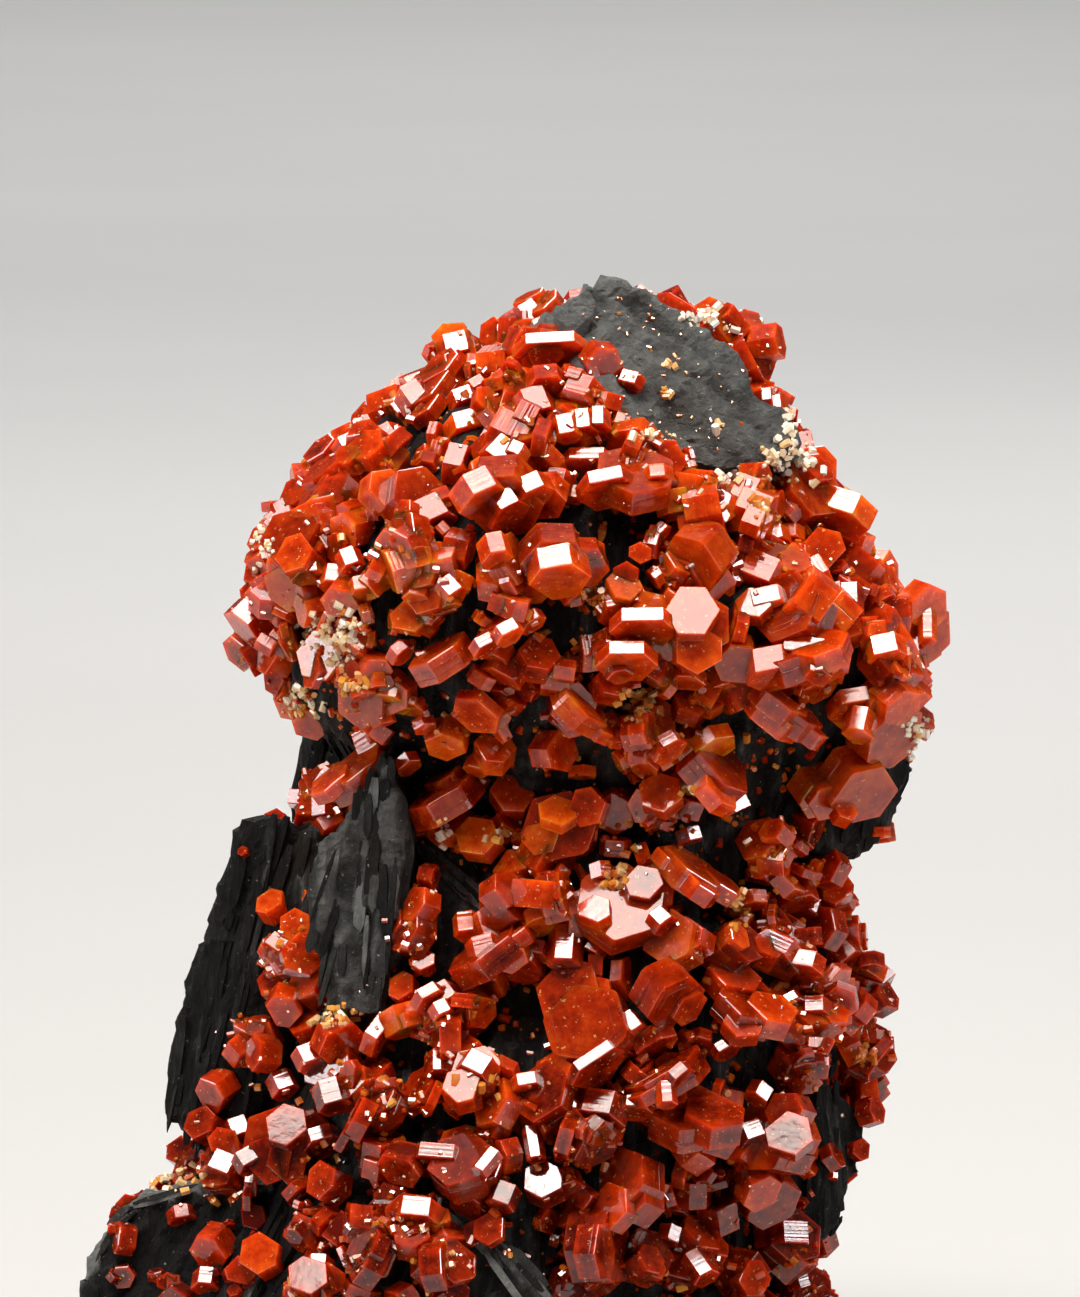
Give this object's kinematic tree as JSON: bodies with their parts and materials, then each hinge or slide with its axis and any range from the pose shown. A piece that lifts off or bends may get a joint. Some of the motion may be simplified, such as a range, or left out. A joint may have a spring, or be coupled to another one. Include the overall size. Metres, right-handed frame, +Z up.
{
  "type": "vanadinite crystals on matrix",
  "caption": "Free-standing mineral specimen: red-orange tabular hexagonal vanadinite crystals over dark bladed matrix, with a flat cut base.",
  "frame": {"origin": "centre of the bounding box in x and y, on the flat cut base", "axes": "+Z up, the front with most crystals faces -Y, +X is to the right seen from the front"},
  "size_m": [0.0682, 0.049, 0.0921],
  "materials": {
    "rock": "rough manganese-coated rock with a faint glitter",
    "druse": "crust of small glossy crystals",
    "crystal": "adamantine, glossy, slightly translucent"
  },
  "bodies": {
    "root": {"crystals_base_1": "crystal", "crystals_base_2": "crystal", "crystals_brow_1": "crystal", "crystals_brow_2": "crystal", "crystals_brow_3": "crystal", "crystals_brow_4": "crystal", "crystals_brow_5": "crystal", "crystals_cheek_left_1": "crystal", "crystals_cheek_left_2": "crystal", "crystals_cheek_left_3": "crystal", "crystals_crown_1": "crystal", "crystals_crown_2": "crystal", "crystals_crown_3": "crystal", "crystals_crown_4": "crystal", "crystals_face_1": "crystal", "crystals_face_2": "crystal", "crystals_face_3": "crystal", "crystals_foot_1": "crystal", "crystals_neck_1": "crystal", "crystals_neck_2": "crystal", "crystals_neck_3": "crystal", "crystals_neck_4": "crystal", "crystals_neck_5": "crystal", "crystals_rear_1": "crystal", "crystals_rear_2": "crystal", "crystals_rear_3": "crystal", "crystals_rear_4": "crystal", "crystals_trunk_1": "crystal", "crystals_trunk_10": "crystal", "crystals_trunk_2": "crystal", "crystals_trunk_3": "crystal", "crystals_trunk_4": "crystal", "crystals_trunk_5": "crystal", "crystals_trunk_6": "crystal", "crystals_trunk_7": "crystal", "crystals_trunk_8": "crystal", "crystals_trunk_9": "crystal", "druse_head": "druse", "druse_trunk": "druse", "matrix": "rock"}
  },
  "joints": []
}
